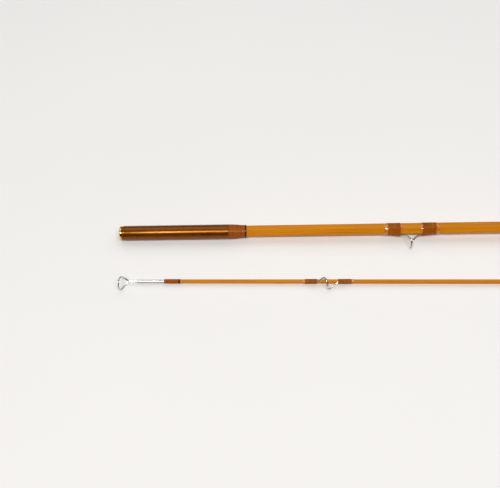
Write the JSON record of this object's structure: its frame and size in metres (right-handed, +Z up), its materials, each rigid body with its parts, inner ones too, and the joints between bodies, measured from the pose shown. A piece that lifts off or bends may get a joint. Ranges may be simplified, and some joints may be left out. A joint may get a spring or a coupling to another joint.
{
  "type": "fly rod",
  "caption": "Split-cane fly rod taken down into a butt section and a tip section, with snake guides, ferrules, cork grip and down-locking reel seat.",
  "frame": {"origin": "centre of the underside of the two laid-down sections' bounding box, on the surface they lie on", "axes": "+X along the butt section from its ferrule to its grip, -Y towards the side that the guides face, +Z up"},
  "size_m": [1.1588, 0.06, 0.025],
  "materials": {
    "honey_cane": "varnished split bamboo, fine lengthwise fibre",
    "ferrule_bronze": "glossy bronze-brown",
    "polished_brass": "polished",
    "bright_steel": "bright chromed wire",
    "brown_silk": "close-wound silk under clear varnish",
    "dark_silk": "close-wound dark silk under clear varnish",
    "cork": "sanded cork with small pits",
    "seat_wood": "oiled dark hardwood",
    "seat_metal": "bronze anodised",
    "agate": "polished"
  },
  "bodies": {
    "butt_section": {"butt_strip_1": "honey_cane", "butt_strip_2": "honey_cane", "butt_strip_3": "honey_cane", "butt_strip_4": "honey_cane", "butt_strip_5": "honey_cane", "butt_strip_6": "honey_cane", "female_ferrule": "ferrule_bronze", "ferrule_welt": "polished_brass", "moisture_plug": "polished_brass", "butt_ferrule_wrap": "brown_silk", "butt_ferrule_trim": "dark_silk", "butt_snake_guide": "bright_steel", "butt_snake_wraps": "brown_silk", "stripping_guide_frame": "bright_steel", "stripping_guide_ring": "agate", "stripping_guide_wraps": "brown_silk", "hook_keeper_strap": "bright_steel", "hook_keeper_wraps": "brown_silk", "winding_check": "polished_brass", "grip_cork_rings": "cork", "seat_spacer": "seat_wood", "seat_sleeve": "seat_metal", "butt_cap": "seat_metal", "butt_cap_pins": "polished_brass"},
    "tip_section": {"tip_strip_1": "honey_cane", "tip_strip_2": "honey_cane", "tip_strip_3": "honey_cane", "tip_strip_4": "honey_cane", "tip_strip_5": "honey_cane", "tip_strip_6": "honey_cane", "tip_top_loop": "bright_steel", "tip_top_tube": "bright_steel", "tip_top_wrap": "brown_silk", "tip_top_trim": "dark_silk", "tip_snake_guide_1": "bright_steel", "tip_snake_wraps_1": "brown_silk", "tip_snake_guide_2": "bright_steel", "tip_snake_wraps_2": "brown_silk", "tip_snake_guide_3": "bright_steel", "tip_snake_wraps_3": "brown_silk", "tip_snake_guide_4": "bright_steel", "tip_snake_wraps_4": "brown_silk", "tip_snake_guide_5": "bright_steel", "tip_snake_wraps_5": "brown_silk", "tip_snake_guide_6": "bright_steel", "tip_snake_wraps_6": "brown_silk", "tip_snake_guide_7": "bright_steel", "tip_snake_wraps_7": "brown_silk", "male_ferrule": "ferrule_bronze", "male_ferrule_plug": "polished_brass", "tip_ferrule_wrap": "brown_silk", "tip_ferrule_trim": "dark_silk"},
    "sliding_hood": {"sliding_hood": "seat_metal"},
    "lock_nut": {"lock_nut": "seat_metal"},
    "keeper_ring": {"hook_keeper_ring": "bright_steel"}
  },
  "joints": [
    {"name": "tip_section_slide", "type": "slide", "parent": "butt_section", "child": "tip_section", "axis": [-0.9999, 0.014, -0.0018], "range_m": [0, 1.16]},
    {"name": "hood_slide", "type": "slide", "parent": "butt_section", "child": "sliding_hood", "axis": [1, 0, 0.0093], "range_m": [0, 0.0125]},
    {"name": "nut_turn", "type": "hinge", "parent": "sliding_hood", "child": "lock_nut", "pos_m": [0.47735, 0.01749, 0.01345], "axis": [1, 0, 0.0093], "range_deg": [0, 3600]},
    {"name": "keeper_ring_swing", "type": "hinge", "parent": "butt_section", "child": "keeper_ring", "pos_m": [0.28327, 0.01317, 0.01033], "axis": [-0.0089, -0.2924, 0.9563], "range_deg": [-75, 75]}
  ],
  "couplings": [
    {"joint": "hood_slide", "follows": "nut_turn", "m_per_rad": 0.00019894}
  ]
}
